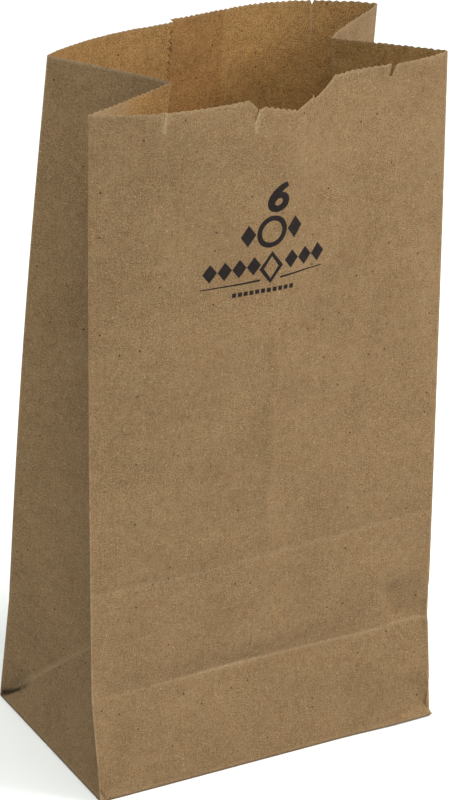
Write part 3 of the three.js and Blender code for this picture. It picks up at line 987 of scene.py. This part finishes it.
def make_ink():
    """Matt dark ink that has sunk unevenly into the paper's fibres."""
    n = Nodes("dark_ink")
    place = n.add("ShaderNodeTexCoord").outputs["Object"]
    patch = n.noise(place, 420, 3, 0.6)
    grain = n.noise(place, 1900, 2, 0.6)
    tone = n.math("ADD", n.span(patch, 0.3, 0.7, 0, 0.5), n.span(grain, 0.3, 0.7, 0, 0.5))
    n.set(n.shader.inputs["Base Color"], n.mix(tone, INK_DARK, INK_LIGHT))
    n.set(n.shader.inputs["Roughness"], n.span(grain, 0.3, 0.7, 0.7, 0.88))
    n.shader.inputs["Specular IOR Level"].default_value = 0.12
    return n.material


# ---- Floor, light and camera -------------------------------------------------


def make_floor():
    """A wide plain pale floor, a hair below the bag."""
    half, z = 6.0, -0.00005
    corners = [(-half, -half, z), (half, -half, z), (half, half, z), (-half, half, z)]
    mesh = bpy.data.meshes.new("floor")
    mesh.from_pydata(corners, [], [(0, 1, 2, 3)])
    floor = bpy.data.objects.new("floor", mesh)
    bpy.context.scene.collection.objects.link(floor)
    n = Nodes("pale_floor")
    n.shader.inputs["Base Color"].default_value = (0.94, 0.94, 0.94, 1)
    n.shader.inputs["Roughness"].default_value = 0.9
    mesh.materials.append(n.material)


def area_light(name, place, target, size, power, colour):
    """A round soft light at a place, aimed at a target."""
    data = bpy.data.lights.new(name, "AREA")
    data.shape = "DISK"
    data.size = size
    data.energy = power
    data.color = colour
    light = bpy.data.objects.new(name, data)
    bpy.context.scene.collection.objects.link(light)
    place, target = np.array(place, float), np.array(target, float)
    aim = target - place
    light.location = place
    tip = math.acos(-aim[2] / np.linalg.norm(aim))
    light.rotation_euler = (tip, 0, math.atan2(aim[1], aim[0]) - math.pi / 2)


def make_lights():
    """An even studio: a pale surround, a wide light overhead, one from the front left and a
    warmer one from the front right."""
    world = bpy.data.worlds.new("studio")
    world.use_nodes = True
    background = world.node_tree.nodes["Background"]
    background.inputs["Color"].default_value = (0.92, 1, 0.98, 1)
    background.inputs["Strength"].default_value = 0.42
    bpy.context.scene.world = world
    area_light("soft_top", (0.0, 0.0, 2.2), (0, 0, 0.1), 3.0, 24, (0.97, 1, 0.98))
    area_light("soft_front", (-0.7, -1.3, 2.0), (0, 0, 0.15), 1.0, 31, (0.97, 1, 0.97))
    area_light("soft_right", (1.5, -1.0, 1.5), (0, 0, 0.15), 1.2, 42, (1, 0.92, 0.86))


def make_camera():
    """Stands off the front left corner and looks a little down, with a long lens. It aims at
    a place half way up the bag, is turned a little about its own axis, and is then moved a
    few millimetres across and down."""
    yaw, rise, roll = np.radians([-30.017, 24.495, 2.056])
    aim_height, distance, across, lift = 0.140, 1.13972, -0.001113, -0.004107
    flat = math.cos(rise)
    back = np.array([math.sin(yaw) * flat, -math.cos(yaw) * flat, math.sin(rise)])
    level = np.cross(-back, [0, 0, 1])
    level /= np.linalg.norm(level)
    upright = np.cross(level, -back)
    right = math.cos(roll) * level + math.sin(roll) * upright
    up = math.cos(roll) * upright - math.sin(roll) * level
    data = bpy.data.cameras.new("camera")
    data.sensor_fit = "VERTICAL"
    data.sensor_height = 36
    data.lens = 130.53
    data.shift_x = 0.00197
    data.shift_y = 0.00866
    camera = bpy.data.objects.new("camera", data)
    bpy.context.scene.collection.objects.link(camera)
    place = np.array([0, 0, aim_height]) + back * distance + right * across + up * lift
    matrix = np.eye(4)
    matrix[:3] = np.stack([right, up, back, place], 1)
    camera.matrix_world = Matrix(matrix.tolist())
    bpy.context.scene.camera = camera


bpy.context.scene.view_settings.view_transform = "Standard"
make_camera()
make_lights()
make_floor()

kraft = make_kraft()
ink = make_ink()
sheet = make_tube()
flaps = make_flaps()
for piece in (sheet, flaps):
    piece.data.materials.append(kraft)
    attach(piece, "root")
    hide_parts("paper_bag")
for piece in make_print():
    piece.data.materials.append(ink)
    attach(piece, "root")
